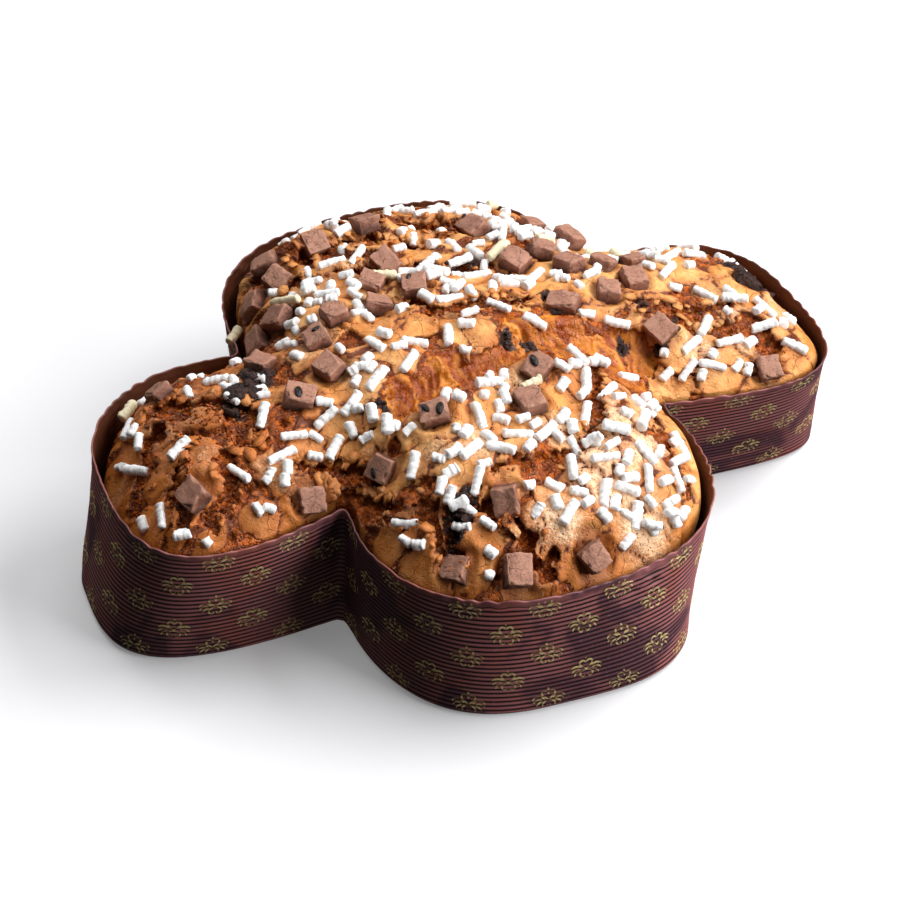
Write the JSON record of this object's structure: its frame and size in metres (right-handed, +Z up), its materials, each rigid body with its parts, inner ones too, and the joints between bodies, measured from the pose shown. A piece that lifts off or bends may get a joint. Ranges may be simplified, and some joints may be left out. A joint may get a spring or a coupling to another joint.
{
  "type": "colomba cake in paper case",
  "caption": "Dove-shaped sweet leavened cake in its ribbed dark paper case, crust split on top and set with chocolate pieces and sugar rods.",
  "frame": {"origin": "middle of the plan of the paper case, on the surface it stands on", "axes": "+X from the tail lobe to the head lobe, +Y from the front wing to the back wing, +Z up"},
  "size_m": [0.2859, 0.218, 0.09],
  "materials": {
    "case_paper": "dark brown ribbed baking paper with a gold scroll ornament",
    "cake_crust": null,
    "milk_chocolate": null,
    "sugar": null,
    "gold_print": null,
    "dark_chocolate": null
  },
  "bodies": {
    "root": {"paper_case": "case_paper", "cake": "cake_crust", "chocolate_tail_1": "milk_chocolate", "chocolate_tail_2": "milk_chocolate", "chocolate_tail_3": "milk_chocolate", "chocolate_tail_4": "milk_chocolate", "chocolate_tail_5": "milk_chocolate", "chocolate_tail_6": "milk_chocolate", "chocolate_back_wing_1": "milk_chocolate", "chocolate_back_wing_2": "milk_chocolate", "chocolate_back_wing_3": "milk_chocolate", "chocolate_back_wing_4": "milk_chocolate", "chocolate_back_wing_5": "milk_chocolate", "chocolate_back_wing_6": "milk_chocolate", "chocolate_back_wing_7": "milk_chocolate", "chocolate_back_wing_8": "milk_chocolate", "chocolate_back_wing_9": "milk_chocolate", "chocolate_back_wing_10": "milk_chocolate", "chocolate_back_wing_11": "milk_chocolate", "chocolate_back_wing_12": "milk_chocolate", "chocolate_back_wing_13": "milk_chocolate", "chocolate_crown_1": "milk_chocolate", "chocolate_crown_2": "milk_chocolate", "chocolate_crown_3": "milk_chocolate", "chocolate_crown_4": "milk_chocolate", "chocolate_crown_5": "milk_chocolate", "chocolate_crown_6": "milk_chocolate", "chocolate_crown_7": "milk_chocolate", "chocolate_crown_8": "milk_chocolate", "chocolate_crown_9": "milk_chocolate", "chocolate_crown_10": "milk_chocolate", "chocolate_crown_11": "milk_chocolate", "chocolate_head_1": "milk_chocolate", "chocolate_head_2": "milk_chocolate", "chocolate_head_3": "milk_chocolate", "chocolate_front_wing_1": "milk_chocolate", "chocolate_front_wing_2": "milk_chocolate", "chocolate_front_wing_3": "milk_chocolate", "chocolate_front_wing_4": "milk_chocolate", "chocolate_front_wing_5": "milk_chocolate", "chocolate_front_wing_6": "milk_chocolate", "chocolate_front_wing_7": "milk_chocolate", "chocolate_front_wing_8": "milk_chocolate"}
  },
  "joints": []
}
